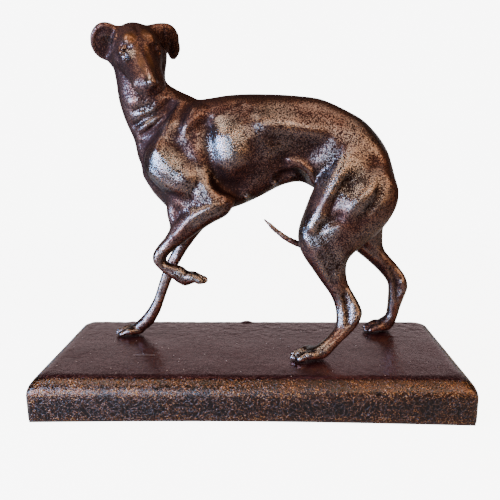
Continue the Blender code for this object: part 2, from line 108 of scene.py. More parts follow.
def add(tree, kind, inputs=None, **settings):
    """New node.  Settings are its properties, inputs as in feed."""
    node = tree.nodes.new("ShaderNode" + kind)
    for name, value in settings.items():
        setattr(node, name, value)
    feed(tree, node, inputs or {})
    return node


def new_finish(name):
    """Empty material with its shader, its tree and the object's own coordinates."""
    finish = bpy.data.materials.new(name)
    finish.use_nodes = True
    tree = finish.node_tree
    return finish, tree, tree.nodes["Principled BSDF"], add(tree, "TexCoord").outputs["Object"]


# %% [markdown]
# ## A finer skin for the dog
# The solid is a light mesh with facets a few millimetres wide.  A sculptor's program would
# lay an even, finer skin over it and go on from there, and so does this cell: one round of
# subdivision takes the facets off, the Remesh modifier makes an even skin of 1.14 mm, and
# the head and the paws, where the small forms are, are split once more.

# %% Fine skin
MM = 1000.0                                  # millimetres in a metre
SKIN = 0.00114                               # size of one face on the body, metres
MIDLINE, PLINTH_TOP = 0.005, 0.027           # where the dog's drawing starts in the frame


def with_modifiers(thing):
    """A new mesh of an object with its modifiers applied."""
    bpy.context.view_layer.update()
    return bpy.data.meshes.new_from_object(thing.evaluated_get(bpy.context.evaluated_depsgraph_get()))


def to_drawing(co):
    """Millimetres from the dog's midline and the plinth's top."""
    return (co - np.array([0.0, MIDLINE, PLINTH_TOP])) * MM


def to_frame(co):
    """The way back, to metres in the frame."""
    return co / MM + np.array([0.0, MIDLINE, PLINTH_TOP])


def even_skin(node_name, grain, levels):
    """Merged copy of a solid's mesh, rounded and remeshed evenly."""
    work = bmesh.new()
    work.from_mesh(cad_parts[node_name].data)
    bmesh.ops.remove_doubles(work, verts=work.verts, dist=1e-6)
    mesh = bpy.data.meshes.new(node_name + "_skin")
    work.to_mesh(mesh)
    work.free()
    rough = bpy.data.objects.new(node_name + "_skin", mesh)
    bpy.context.collection.objects.link(rough)
    if levels:
        round_off = rough.modifiers.new("round off", "SUBSURF")
        round_off.levels = round_off.render_levels = levels
    even = rough.modifiers.new("even", "REMESH")
    even.mode, even.voxel_size, even.adaptivity = "VOXEL", grain, 0.0
    skin = with_modifiers(rough)
    bpy.data.objects.remove(rough)
    return skin


HEAD_AT = np.array([-67.3, -7.0, 193.4])     # the brow's middle, in the drawing


def split_small_forms(mesh):
    """Halve the faces of the head and of the paws."""
    work = bmesh.new()
    work.from_mesh(mesh)
    chosen = []
    for face in work.faces:
        spot = to_drawing(np.array(face.calc_center_median()))
        on_head = np.linalg.norm(spot - HEAD_AT) < 36 and spot[2] > 166
        on_raised_paw = -52 < spot[0] < -22 and 40 < spot[2] < 62 and spot[1] < 0
        on_standing_paw = spot[2] < 11
        if on_head or on_raised_paw or on_standing_paw:
            chosen.append(face)
    lines = {edge for face in chosen for edge in face.edges}
    bmesh.ops.subdivide_edges(work, edges=list(lines), cuts=1, use_grid_fill=True, smooth=1.0)
    work.to_mesh(mesh)
    work.free()


skin = even_skin("greyhound", SKIN, 1)
split_small_forms(skin)
skin.calc_loop_triangles()
print("dog's skin:", len(skin.vertices), "points,", len(skin.loop_triangles), "triangles")

# %% [markdown]
# ## Sculpting by lines
# A modelling brush pushes the skin out or in along its normal, most in the middle of the
# stroke and not at all at its edge.  A stroke here is a line drawn in the side view: how far
# it pushes, how wide it is, and its x and z points in millimetres.  The same few functions
# even out the skin between strokes, as a thumb would.

# %% Brushes
def skin_arrays(mesh):
    """The skin's points in the drawing, and the two ends of each of its edges."""
    co = np.empty(len(mesh.vertices) * 3)
    mesh.vertices.foreach_get("co", co)
    edges = np.empty(len(mesh.edges) * 2, dtype=int)
    mesh.edges.foreach_get("vertices", edges)
    return to_drawing(co.reshape(-1, 3)), edges.reshape(-1, 2)


def skin_normals(mesh, co):
    """Moves the mesh to these points, and gives its normals there."""
    mesh.vertices.foreach_set("co", to_frame(co).ravel())
    mesh.update()
    out = np.empty(len(co) * 3)
    mesh.vertices.foreach_get("normal", out)
    return out.reshape(-1, 3)


def thumb(co, edges, rounds, keep=None, pulls=(0.5, -0.52)):
    """Even out the skin.  The second pull gives back what the first has shrunk."""
    a, b = edges[:, 0], edges[:, 1]
    count = np.maximum(np.bincount(edges.ravel(), minlength=len(co)), 1)
    for _ in range(rounds):
        for pull in pulls:
            total = np.stack([np.bincount(a, co[b, i], len(co)) + np.bincount(b, co[a, i], len(co))
                              for i in range(3)], axis=1)
            step = (total / count[:, None] - co) * pull
            co += step if keep is None else step * keep[:, None]


def ramp(value, low, high):
    """Rises smoothly from 0 at low to 1 at high."""
    t = np.clip((value - low) / (high - low), 0, 1)
    return t * t * (3 - 2 * t)


def line_distance(flat, points):
    """Distance from every point to a line of points, in the plane of the drawing."""
    best = np.full(len(flat), 1e9)
    for a, b in zip(points[:-1], points[1:]):
        a, b = np.array(a, float), np.array(b, float)
        t = np.clip(((flat - a) @ (b - a)) / ((b - a) @ (b - a)), 0, 1)
        best = np.minimum(best, np.linalg.norm(flat - (a + t[:, None] * (b - a)), axis=1))
    return best


def stroke(co, normals, facing, push, width, points):
    """Push most on the line, and not at all a width away from it or where facing is 0."""
    near = np.clip(1 - (line_distance(co[:, [0, 2]], points) / width) ** 2, 0, 1) ** 2
    co += normals * (near * facing * push)[:, None]


co, edges = skin_arrays(skin)
thumb(co, edges, 14)
print("evened out", len(co), "points")

# %% [markdown]
# ## Muscles and folds
# A greyhound has hardly any fat, so the shoulder blade, the cords of the neck, the edge of
# the ribs and the thigh show as separate forms.  The turned head presses the near side of
# the neck into folds.  Broad strokes first, narrow ones after, as with clay.

# %% Strokes on the body
BODY_STROKES = [
    # side (-1 near, 1 far, 0 both), push, width, points
    (0, 0.8, 11, [(-50, 122), (-42, 114)]),                                # point of the shoulder
    (-1, 1.0, 12, [(-33, 124), (-31, 112)]),                               # the arm's rear edge
    (-1, 0.7, 3.6, [(-60, 118), (-52, 111), (-45, 107.5), (-37, 104.8), (-31, 105)]),    # and the lower rim
    (-1, -0.8, 4.0, [(-59, 111), (-51, 104.5), (-42, 100.5), (-33, 98.5)]),
    (0, -0.6, 6.0, [(-25, 142), (-24, 130), (-21, 119), (-17, 110)]),      # arm and ribs part
    (0, -1.0, 4.6, [(-20, 113), (-15, 107.5), (-9, 102)]),                 # behind the elbow
    (0, 0.45, 2.6, [(-31, 140), (-20, 146.5), (-2, 157)]),                 # top of the shoulder blade
    (0, -0.4, 4.0, [(-29, 136), (-17, 142), (2, 153)]),
    (0, 1.3, 13, [(-13, 137), (-10, 128)]),                                # ribs
    (0, -0.8, 9, [(4, 130), (1, 119), (-6, 110)]),                         # last rib and belly
    (0, 0.6, 8, [(8, 146), (24, 145), (40, 140), (48, 135)]),              # loin
    (0, -0.5, 8, [(16, 134), (28, 133), (40, 130)]),
    (0, 1.1, 2.8, [(24, 123.5), (31, 122), (37, 117), (39.5, 110)]),       # fold of the flank
    (0, -1.2, 3.2, [(20, 115), (29, 117), (34, 113), (36, 107)]),
    (0, 1.15, 5.5, [(61, 130), (55, 119), (50.5, 108), (45, 97), (39, 84)]),   # front of the thigh
    (0, -0.5, 5.5, [(74, 121), (67, 117), (60, 110)]),                     # thigh muscles part
    (0, 0.9, 5.0, [(57, 103), (51, 94), (46, 88)]),                        # and join again lower down
    (0, 0.7, 7.0, [(76, 108), (69, 101), (61, 95)]),                       # hamstring
    (0, -0.3, 5.0, [(80, 112), (77, 103), (73, 95)]),
    (0, -0.4, 3.6, [(42, 82), (47, 85.5), (54, 87.5), (60, 87)]),          # above the stifle
    (0, 0.6, 4.0, [(34, 78), (37, 72)]),                                   # stifle
]
NECK_STROKES = [
    # the folds of the turned neck, near side only
    (-1, -0.8, 2.2, [(-69, 153.5), (-63, 155.5), (-58, 157.5)]),
    (-1, -0.9, 2.4, [(-70, 145.5), (-61, 149.5), (-52, 155), (-47, 159.5)]),
    (-1, -1.2, 2.8, [(-66, 139.5), (-58, 144), (-50, 150), (-44, 158.5)]),
    (-1, 0.8, 4.4, [(-71, 158.5), (-67, 159.5)]),
    (-1, 0.6, 2.4, [(-54, 133), (-47.5, 147.5), (-44.5, 152.5)]),
    (-1, -0.7, 3.4, [(-41.5, 141), (-40, 148), (-37.5, 154.5)]),
]
LEG_STROKES = [
    # legs: side, push, width, points, both faces of the leg
    (-1, -0.6, 4.0, [(44, 66), (48, 58), (52, 48)]),                       # calf
    (-1, 0.4, 2.8, [(34, 76), (41, 66), (46, 55), (52, 43)]),              # shin
    (-1, -1.6, 2.4, [(59, 40), (60.5, 35), (61.5, 28), (61, 23)]),         # before the heel cord
    (-1, 0.8, 2.6, [(66, 34), (68, 29), (66, 24)]),                        # heel bone
    (1, -1.2, 2.4, [(95, 47), (98, 42), (100.5, 34), (101, 26)]),
    (1, 0.7, 2.6, [(104, 38), (106.5, 33), (105, 28)]),
    (1, -0.6, 3.4, [(66, 76), (74, 67), (84, 59)]),
    (1, -0.5, 2.0, [(-52, 60), (-57, 48), (-61, 38), (-64, 29)]),
]
ARM_STROKES = [
    (-1, 0.8, 3.0, [(-15, 98.5), (-21, 97), (-27, 94.5), (-35, 90), (-45, 79)]),    # ridge along the forearm
    (-1, -0.7, 3.4, [(-26, 99.5), (-36, 96), (-46, 88)]),
    (-1, 0.6, 3.4, [(-9, 98), (-14, 101)]),                                # elbow
    (-1, -0.6, 2.4, [(-47, 71), (-53, 65), (-55, 60)]),                    # wrist
    (-1, 0.5, 2.6, [(-57.5, 68), (-59, 62), (-55, 56), (-49, 52)]),
]
SOFT_PLACES = [
    # places without a crease, middle and reach: the web before the arms, beside the tail's root, the hip
    ((-53, -11, 94), 8.5), ((89, -6, 115), 7), ((65, -17, 127), 6),
]
TAIL_GAIN = 0.45                              # the finer skin has thinned the tail by this, millimetres


def sculpt_body(co, normals):
    """All strokes, each on the side of the body or of the leg that it belongs to."""
    side, off = normals[:, 1].copy(), co[:, 1].copy()
    high = ramp(co[:, 2], 64, 78)
    for hand, push, width, points in BODY_STROKES + NECK_STROKES:
        for way in ((-1, 1) if hand == 0 else (hand,)):
            facing = ramp(side * way, 0.05, 0.6) * ramp(off * way, -2, 5)
            stroke(co, normals, facing * high, push, width, points)
    for way, push, width, points in LEG_STROKES:
        stroke(co, normals, ramp(np.abs(side), 0.1, 0.6) * ramp(off * way, 5, 8), push, width, points)
    for way, push, width, points in ARM_STROKES:
        stroke(co, normals, ramp(side * way, 0.0, 0.5) * ramp(off * way, 5, 9), push, width, points)


sculpt_body(co, skin_normals(skin, co))
thumb(co, edges, 2)
for spot, reach in SOFT_PLACES:
    away = np.linalg.norm((co - np.array(spot)) / np.array([1, 1.6, 1.2]), axis=1)
    thumb(co, edges, 50, keep=1 - ramp(away, reach * 0.6, reach * 1.5), pulls=(0.6,))
whip = (1 - ramp(co[:, 0], 28, 34)) * (np.abs(co[:, 1]) < 4) * ramp(co[:, 0], 0, 4)
whip = whip * (1 - ramp(co[:, 2], 90, 94))
co += skin_normals(skin, co) * (TAIL_GAIN * whip)[:, None]
print("strokes:", len(BODY_STROKES) + len(NECK_STROKES) + len(LEG_STROKES) + len(ARM_STROKES))

# %% [markdown]
# ## The face
# The head is small, so its forms are dabs rather than lines: ovals in the head's own
# directions, nose-wards, to the dog's left, and up.  A bump and a ring round it make an
# eye, two short pits the nostrils, and one wide dab the cup of the ear that is folded back.

# %% Dabs on the head
HEAD_TURN, HEAD_DIP, HEAD_TILT, HEAD_SCALE = math.radians(25.2), math.radians(35.2), math.radians(6.3), 0.971


def head_directions():
    """The head's own three directions: nose-wards, to the dog's left, and up."""
    turn, dip = HEAD_TURN, HEAD_DIP
    nose = Vector((math.sin(turn) * math.cos(dip), -math.cos(turn) * math.cos(dip), -math.sin(dip)))
    level = Vector((math.cos(turn), math.sin(turn), 0.0))
    rise = level.cross(nose).normalized()
    rise = rise if rise.z > 0 else -rise
    left = level * math.cos(HEAD_TILT) + rise * math.sin(HEAD_TILT)
    up = rise * math.cos(HEAD_TILT) - level * math.sin(HEAD_TILT)
    return [np.array(way) / HEAD_SCALE for way in (nose, left, up)]


def head_places(co):
    """Points measured from the brow along the head's own directions."""
    return np.stack([(co - HEAD_AT) @ way for way in head_directions()], axis=1)


def oval_distance(places, at, reach):
    """0 in the middle of an oval, 1 on its rim."""
    return np.sqrt((((places - np.array(at)) / np.array(reach)) ** 2).sum(axis=1))


def dab(co, normals, places, at, reach, push, ring=0.0):
    """Push inside an oval, or only near its rim if ring is that rim's width."""
    r = oval_distance(places, at, reach)
    if ring:
        amount = np.clip(1 - ((r - 1) / ring) ** 2, 0, 1) ** 2
    else:
        amount = np.clip(1 - r ** 2, 0, 1) ** 2
    co += normals * (amount * push)[:, None]


def sculpt_face(co, mesh):
    """The broad forms of the head first, then the small ones on top of them."""
    normals = skin_normals(mesh, co)
    p = head_places(co)
    for s in (-1, 1):
        dab(co, normals, p, (21, 9.5 * s, 2.5), (7, 4.5, 5), -0.8)         # beside the bridge
        dab(co, normals, p, (9, 6.0 * s, 9), (4.5, 4.0, 3.6), 0.7)         # brow
        dab(co, normals, p, (16, 7.0 * s, 5), (3.4, 2.4, 3), -0.4)         # inner corner
        dab(co, normals, p, (20, 8.0 * s, 1.5), (5, 3.0, 4), 0.6)          # cheekbone below it
        dab(co, normals, p, (7, 12.5 * s, -5), (8, 4, 5), 0.5)             # cheek
    dab(co, normals, p, (28, 0, 3), (15, 2.6, 3.5), 0.6)                   # bridge of the nose
    dab(co, normals, p, (2, 0, 10.5), (8, 2.2, 4), -0.6)                   # furrow of the brow
    normals = skin_normals(mesh, co)
    p = head_places(co)
    for s in (-1, 1):
        w = 4.2 - 1.0 * s                                                          # the near eye sits higher
        dab(co, normals, p, (14.0, 11.0 * s, w), (3.1, 3.0, 2.3), -0.9, 0.36)      # lids part from the ball
        dab(co, normals, p, (13.0, 11.0 * s, w + 3.0), (4.0, 3.4, 1.4), 0.7)       # upper lid
        dab(co, normals, p, (14.5, 11.4 * s, w - 3.2), (3.6, 3.0, 1.1), 0.4)       # lower lid
        dab(co, normals, p, (15.6, 12.0 * s, w + 0.2), (1.8, 1.7, 1.3), -0.9)      # pupil
        dab(co, normals, p, (46, 2.6 * s, -3.4), (2.2, 1.4, 1.4), -1.2)            # nostril
        for i in range(12):                                                        # line of the mouth
            t = i / 11
            dab(co, normals, p, (45 - 21 * t, (6.2 + 4.0 * t) * s, -8.2 - 1.6 * t), (2.6, 3.2, 1.2), -0.42)
            dab(co, normals, p, (44 - 20 * t, (6.4 + 4.0 * t) * s, -6.0 - 1.6 * t), (2.8, 3.2, 1.6), 0.22)
        dab(co, normals, p, (42, 6.4 * s, -3.0), (6.0, 3.4, 4.4), -0.5)            # nose parts from the lip
    dab(co, normals, p, (42, -6.5, -7.5), (8, 4, 4.5), -0.9)               # the near lip draws in below
    dab(co, normals, p, (40, -5.0, 0.0), (7, 3.0, 3.0), 0.5)
    dab(co, normals, p, (45.5, 0, 0.2), (4.0, 4.4, 2.8), 1.2)              # nose
    dab(co, normals, p, (47.0, 0, -5.4), (5.0, 7.5, 3.4), -0.8)            # the lip lies back under it
    dab(co, normals, p, (47.5, 0, -5.6), (3.0, 0.9, 2.6), -0.8)            # split of the lip
    dab(co, normals, p, (46.5, 0, -8.0), (3.4, 6.0, 1.4), -0.9)            # mouth
    dab(co, normals, p, (-3, -17.0, -2.0), (9, 6.4, 8.6), 0.8)             # the folded ear's shallow cup
    dab(co, normals, p, (-5, -17.0, -2.0), (9, 8.4, 10.6), 0.8, 0.24)      # and its rim
    dab(co, normals, p, (-3, 18.5, 1.5), (7, 1.7, 7), -0.9)                # where the flap folds over
    dab(co, normals, p, (-5, 23.5, -8), (7, 2.4, 8), -0.7)


sculpt_face(co, skin)
thumb(co, edges, 1)
lip = 1 - ramp(np.linalg.norm(head_places(co) - np.array([44, -6.5, -5]), axis=1), 3, 6.5)
thumb(co, edges, 30, keep=lip, pulls=(0.6,))                               # the near lip is soft
print("face done")

# %% [markdown]
# ## Toes, teats and small marks
# Each paw has four toes.  Grooves between them are strokes again, but drawn from above.
# A few small knobs on the belly and the neck are part of the cast.

# %% Toes and knobs
PAWS = [
    # heel and toe seen from above, width, and the heights between which its grooves run
    ((50, -26), (25, -27), 15.5, 0, 7),                                    # near hind paw
    ((101, 24.5), (79, 23), 14.5, 0, 7),                                   # far hind paw
    ((-76.5, 15.8), (-97.5, 14.8), 14.0, 0, 7),                            # standing fore paw
    ((-49, -16), (-26.5, -16), 10.5, 46, 58),                              # raised fore paw
]
GROOVE_LENGTH, GROOVE_WIDTH, GROOVE_DEPTH = 9.5, 1.25, 1.2
KNOBS = [
    # x and z in the side view, size and push: two teats, and two small knobs on the neck
    (-1, 100.5, 2.2, 1.6), (16, 108.5, 2.4, 1.8), (-65.4, 151.5, 2.2, 0.9), (-63.3, 144, 3.0, 0.7),
]
JOINT_LINE = 0.3                              # the paws end this far above the plinth, millimetres


def toe_grooves(co, normals, heel, toe, width, low, high):
    """Three grooves along a paw that is seen from above, between its four toes."""
    heel, toe = np.array(heel, float), np.array(toe, float)
    way = (toe - heel) / np.linalg.norm(toe - heel)
    across = np.array([-way[1], way[0]])
    inside = ramp(co[:, 2], low - 1, low) * (1 - ramp(co[:, 2], high, high + 1.5))
    inside = inside * ramp(normals[:, 2], -0.2, 0.3)
    for i in (-1, 0, 1):
        start = toe - way * GROOVE_LENGTH + across * (i * width * 0.17)
        end = toe + way * 0.5 + across * (i * width * 0.27)
        near = np.clip(1 - (line_distance(co[:, :2], [start, end]) / GROOVE_WIDTH) ** 2, 0, 1)
        co += normals * (near * inside * -GROOVE_DEPTH)[:, None]


def knob(co, normals, at, size, push):
    """Round knob of a given radius."""
    r = np.linalg.norm(co - np.array(at), axis=1) / size
    co += normals * (np.clip(1 - r ** 2, 0, 1) ** 2 * push)[:, None]


def on_skin(co, x, z, side):
    """The point of the skin at x, z that lies furthest out on one side."""
    near = np.nonzero(np.hypot(co[:, 0] - x, co[:, 2] - z) < 1.2)[0]
    return co[near[np.argmax(co[near, 1] * side)]]


normals = skin_normals(skin, co)
for paw in PAWS:
    toe_grooves(co, normals, *paw)
for x, z, size, push in KNOBS:
    knob(co, normals, on_skin(co, x, z, -1), size, push)
co[:, 2] = np.maximum(co[:, 2], JOINT_LINE)
print("lowest point of the paws", round(co[:, 2].min(), 2), "mm above the plinth")

# %% [markdown]
# ## Where hands have rubbed the lacquer, and painted highlights on the head
# Lacquer wears off where the metal stands proud and stays dark in the hollows.  How proud a
# point stands is the distance between the skin and a very evened-out copy of itself.  It is
# kept on the mesh as two attributes, a fine one and a broad one, for the material to read.
# Two more say where hands have polished the grain, with painted highlights on the near side of the head, and
# where the face is down to copper.

# %% Wear attributes
def proudness(co, edges, normals, rounds):
    """How far each point stands out of the skin once that is evened out, millimetres."""
    smooth = co.copy()
    thumb(smooth, edges, rounds, pulls=(0.6,))
    return ((co - smooth) * normals).sum(axis=1)


def keep_on_mesh(mesh, name, values):
    layer = mesh.attributes.new(name, "FLOAT", "POINT")
    layer.data.foreach_set("value", values.astype(np.float32))


RUBBED = [
    # how much, reach in millimetres, x and z in the side view
    (1.0, 21, -49, 120), (0.8, 20, -31, 112), (1.0, 24, -13, 136), (0.8, 28, 14, 142), (0.6, 26, 40, 136),
    (1.0, 26, 56, 114), (0.75, 24, 70, 138), (0.9, 24, 70, 104), (1.0, 20, 41, 82), (0.85, 20, 50, 60),
    (0.9, 20, 61, 32), (0.95, 24, 36, 4), (0.8, 20, -27, 93), (0.75, 15, -52, 64), (0.95, 20, -38, 50),
    (0.75, 30, -72, 34), (0.75, 24, -90, 6), (0.7, 30, 78, 70), (0.6, 34, 98, 30), (0.8, 13, -63, 151),
    (0.45, 34, 6, 160), (0.45, 30, 46, 160), (0.55, 16, -44, 140), (0.4, 14, 8, 112), (1.0, 6, -1, 100),
    (1.0, 6, 16, 108), (0.6, 18, 18, 82), (0.9, 10, 33, 113),
]
SHEEN_SPOTS_ON_HEAD = [
    # painted highlights, given like the rubbed places but by a place on the head: beside the near eye, on
    # the nose, in the near ear's cup
    (0.9, 7.5, (18, -8.5, 2.6)), (0.8, 5.0, (45, -2, 1)), (0.7, 6.5, (-3, -17, 0)),
]
LEAST_RUBBED, LEAST_ON_HEAD = 0.16, 0.08
COPPER_SPOTS = [
    # on the head, for the left side: middle, reach, how much: the brow, the bridge, the nose
    ((9, 5.5, 9), (8, 5.5, 7), 0.7), ((27, 2.6, 4), (24, 2.6, 6), 0.75), ((45, 0, 2), (4, 4, 3), 0.5),
]


def rubbed_and_sheen(co):
    """How much cloths and hands have polished the grain, little on the head and the throat, and where
    highlights are painted as polish on the near side of the head.
    """
    amount = np.full(len(co), LEAST_RUBBED)
    for much, reach, x, z in RUBBED:
        away = np.hypot(co[:, 0] - x, co[:, 2] - z)
        amount = np.maximum(amount, much * (1 - ramp(away, reach * 0.35, reach)))
    on_head = ramp(co[:, 2], 160, 168) * (1 - ramp(np.linalg.norm(co - HEAD_AT, axis=1), 40, 48))
    amount = amount * (1 - on_head) + LEAST_ON_HEAD * on_head
    p = head_places(co)
    for much, reach, at in SHEEN_SPOTS_ON_HEAD:
        away = np.linalg.norm(p - np.array(at), axis=1)
        amount = np.maximum(amount, much * (1 - ramp(away, reach * 0.35, reach)))
    return amount


def copper(co):
    """Where the brows, the bridge and the nose are rubbed through to smooth copper."""
    p = head_places(co)
    amount = np.zeros(len(co))
    for s in (-1, 1):
        for (nose, left, up), reach, much in COPPER_SPOTS:
            r = oval_distance(p, (nose, left * s, up), reach)
            amount = np.maximum(amount, much * (1 - ramp(r, 0.4, 1.3)))
    return amount


def new_piece(mesh, name):
    """Smoothly shaded object of a finished skin."""
    mesh.name = name
    for face in mesh.polygons:
        face.use_smooth = True
    piece = bpy.data.objects.new(name, mesh)
    bpy.context.collection.objects.link(piece)
    return piece


normals = skin_normals(skin, co)
# polish of the grain, with painted highlights on the near side of the head
keep_on_mesh(skin, "rubbed_and_sheen", rubbed_and_sheen(co))
keep_on_mesh(skin, "copper", copper(co))
fine, broad = proudness(co, edges, normals, 8), proudness(co, edges, normals, 90)
keep_on_mesh(skin, "fine", np.clip(0.5 + fine * 1.6, 0, 1))
keep_on_mesh(skin, "broad", np.clip(0.5 + broad * 0.28, 0, 1))
dog = new_piece(skin, "greyhound_cast")
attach(dog, "root")
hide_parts("greyhound")
print("fine", fine.min().round(2), fine.max().round(2), "broad", broad.min().round(2), broad.max().round(2))

# %% [markdown]
# ## The plinth's casting
# A plain box with rounded edges looks machined.  A cast one is never quite flat: the sand
# gives a little, the edges are worn, and the long bottom edges are lifted in their middle
# by the cooling metal.  The solid is remeshed evenly and then moved by a few slow waves.

# %% Plinth
PLINTH_SKIN = 0.00135                        # size of one face on the plinth, metres
PLINTH_LENGTH = MM * (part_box("plinth")[1].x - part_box("plinth")[0].x)
WAVE_DEPTH, REAR_DEPTH = 0.16, 0.22          # slow waves on the top, coarser bumps on its rear half
BOW = 1.6                                    # the long bottom edges are lifted by this in their middle
REAR_LUMPS = [
    # middle, size, push: two lumps on the rear edge
    ((-5, 42, -0.5), 5.5, 1.1), ((-92, 44, -1), 4.0, 0.5),
]


def slow_waves(co, size, turns):
    """Smooth hills of about a given size, made of a few crossing sine waves."""
    total = np.zeros(len(co))
    for i in range(turns):
        angle = 2.4 * i + 0.7
        way = np.array([math.cos(angle), math.sin(angle), 0.5 * math.sin(3.1 * i)])
        total += np.sin((co @ way) * (2 * math.pi / size) * (0.8 + 0.17 * i) + 1.9 * i)
    return total / turns


base_skin = even_skin("plinth", PLINTH_SKIN, 0)
base_co, base_edges = skin_arrays(base_skin)
base_normals = skin_normals(base_skin, base_co)
outside = ramp(base_normals[:, 2], -0.3, 0.2)
thumb(base_co, base_edges, 3, keep=outside)
up_side = ramp(base_co[:, 2], -12, -1)
base_co[:, 2] -= up_side * outside * (WAVE_DEPTH + WAVE_DEPTH * slow_waves(base_co, 46, 5))
rear = ramp(base_co[:, 1], 0, 40) * up_side
bumps = np.clip(slow_waves(base_co * np.array([1, 1.7, 1]), 9, 6), -0.4, 1)
base_co[:, 2] -= rear * outside * REAR_DEPTH * bumps
foot = 1 - ramp(base_co[:, 2], -27, -14)
lift = BOW * np.cos(np.clip(base_co[:, 0] / (PLINTH_LENGTH / 2), -1, 1) * math.pi / 2)
base_co[:, 2] += foot * lift * ramp(np.abs(base_co[:, 1] + 5), 44, 50)
for at, size, push in REAR_LUMPS:
    knob(base_co, base_normals, at, size, push)
base_fine = proudness(base_co, base_edges, skin_normals(base_skin, base_co), 14)
keep_on_mesh(base_skin, "fine", np.clip(0.5 + base_fine * 1.2, 0, 1))
keep_on_mesh(base_skin, "top", ramp(base_normals[:, 2], 0.90, 0.99))
keep_on_mesh(base_skin, "rear", ramp(base_co[:, 1], -4, 36) * (0.55 + 0.45 * ramp(base_co[:, 0], -60, 10)))
base = new_piece(base_skin, "plinth_cast")
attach(base, "root")
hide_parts("plinth")
base_skin.calc_loop_triangles()
print("plinth:", len(base_skin.loop_triangles), "triangles")

# %% [markdown]
# ## Bronzed cast iron
# The real finish is iron cast in fairly coarse sand, grain near 1 mm, under a thin
# purple-brown bronzing lacquer.  Rubbed grain tops show copper, pits stay almost black, and
# the lacquer's gloss breaks up into sparks on the grain.  The shader is a metal with a thin
# clear coat.  The grain drives the bump, the colour and the roughness together, because on
# the real thing it is one and the same relief.

# %% Bronzed finish
def calculate(tree, operation, *values):
    """Output of one Math node, for numbers or other outputs."""
    return add(tree, "Math", dict(enumerate(values)), operation=operation).outputs[0]


def add_up(tree, first, *more):
    for part in more:
        first = calculate(tree, "ADD", first, part)
    return first


def spread(tree, value, low, high, to_low, to_high, kind="LINEAR"):
    """Map a value from one range to another, held at its ends."""
    return add(tree, "MapRange", {"Value": value, "From Min": low, "From Max": high,
                                  "To Min": to_low, "To Max": to_high}, interpolation_type=kind).outputs[0]


def blend(tree, factor, first, second):
    """The colour a factor of the way from the first to the second."""
    return add(tree, "Mix", {0: factor, 6: first, 7: second}, data_type="RGBA").outputs[2]


def blotches(tree, place, size, detail=4.0, roughness=0.6):
    """Noise with blotches of a given size in millimetres."""
    return add(tree, "TexNoise", {"Vector": place, "Scale": MM / size, "Detail": detail,
                                  "Roughness": roughness}).outputs["Fac"]


def sand_relief(tree, place, grain):
    """Height of the grain: noise with rounded sand grains, about -0.4 to 0.6."""
    sand = add(tree, "TexVoronoi", {"Vector": place, "Scale": MM / (grain * 0.9)}, feature="F1")
    return calculate(tree, "SUBTRACT", blotches(tree, place, grain, 3.0, 0.62), sand.outputs["Distance"])


def wear(tree, *names):
    """The attributes that the mesh keeps under these names."""
    return [add(tree, "Attribute", attribute_name=name).outputs["Fac"] for name in names]


def figure_finish():
    finish, tree, shader, place = new_finish("bronzed cast iron, rubbed")
    relief = sand_relief(tree, place, 0.82)
    patch = blotches(tree, place, 9)
    # the polish also carries painted highlights on the near side of the head: more copper grain and gloss
    # there
    fine, broad, rub_and_sheen, shine = wear(tree, "fine", "broad", "rubbed_and_sheen", "copper")
    tops = add_up(tree, relief, spread(tree, fine, 0.25, 0.75, -0.10, 0.10),
                  spread(tree, broad, 0.2, 0.8, -0.08, 0.05), spread(tree, patch, 0.3, 0.7, -0.12, 0.08),
                  spread(tree, rub_and_sheen, 0, 1, -0.20, 0.05))
    clean = spread(tree, tops, -0.22, 0.12, 0, 1, "SMOOTHSTEP")           # pits hold soot, tops don't
    bare = spread(tree, tops, 0.24, 0.60, 0, 1, "SMOOTHSTEP")             # the highest have no lacquer left
    smooth = spread(tree, calculate(tree, "MULTIPLY", shine, patch), 0.18, 0.62, 0, 0.34)
    bare = calculate(tree, "MAXIMUM", bare, smooth)
    pits = blend(tree, rub_and_sheen, tint("2e1a17"), tint("180c09"))
    worn = blend(tree, patch, tint("2a130b"), tint("482717"))
    lacquer = blend(tree, clean, pits, blend(tree, rub_and_sheen, tint("6c4638"), worn))
    depth = calculate(tree, "MULTIPLY", relief, spread(tree, rub_and_sheen, 0, 1, 0.35, 1.0))
    bump = add(tree, "Bump", {"Height": depth, "Strength": 1.0, "Distance": 0.13 / MM}).outputs["Normal"]
    feed(tree, shader, {
        "Base Color": blend(tree, bare, lacquer, tint("a66c32")),
        "Metallic": 0.95,
        "Roughness": add_up(tree, spread(tree, clean, 0, 1, 0.46, 0.25), spread(tree, rub_and_sheen, 0, 1, 0.18, 0)),
        "Normal": bump,
        "Coat Normal": bump,
        "Coat Weight": calculate(tree, "MULTIPLY", clean, spread(tree, rub_and_sheen, 0, 1, 0.10, 1.0)),
        "Coat Roughness": 0.16,
        "Coat IOR": 2.0,                      # a varnish has 1.5, but then the sparks hardly show
    })
    return finish


DUST_CELL, SPECK = 5.0, 0.325                 # a cell may hold a speck of this radius, millimetres
DUSTY = 0.07                                  # share of the cells that have a speck, about
SCRATCH_AT = (-0.0695, -0.0164)               # before the standing fore paw, metres
SCRATCH_HALF = (0.0072, 0.0002)               # half its length and half its width


def pale_marks(tree, place, top):
    """1 on a speck of dust or on the light scratch, both on the plinth's top, and 0 elsewhere."""
    dust = add(tree, "TexVoronoi", {"Vector": place, "Scale": MM / DUST_CELL, "Randomness": 1.0},
               feature="F1", voronoi_dimensions="2D")
    lot = add(tree, "SeparateColor", {"Color": dust.outputs["Color"]}).outputs["Red"]
    speck = calculate(tree, "LESS_THAN", dust.outputs["Distance"], SPECK / DUST_CELL)
    speck = calculate(tree, "MULTIPLY", speck, calculate(tree, "GREATER_THAN", lot, 1 - DUSTY))
    spot = add(tree, "SeparateXYZ", {0: place}).outputs
    along = calculate(tree, "COMPARE", spot["X"], SCRATCH_AT[0], SCRATCH_HALF[0])
    across = calculate(tree, "COMPARE", spot["Y"], SCRATCH_AT[1], SCRATCH_HALF[1])
    scratch = calculate(tree, "MULTIPLY", along, across)
    return calculate(tree, "MULTIPLY", calculate(tree, "MAXIMUM", speck, scratch), top)


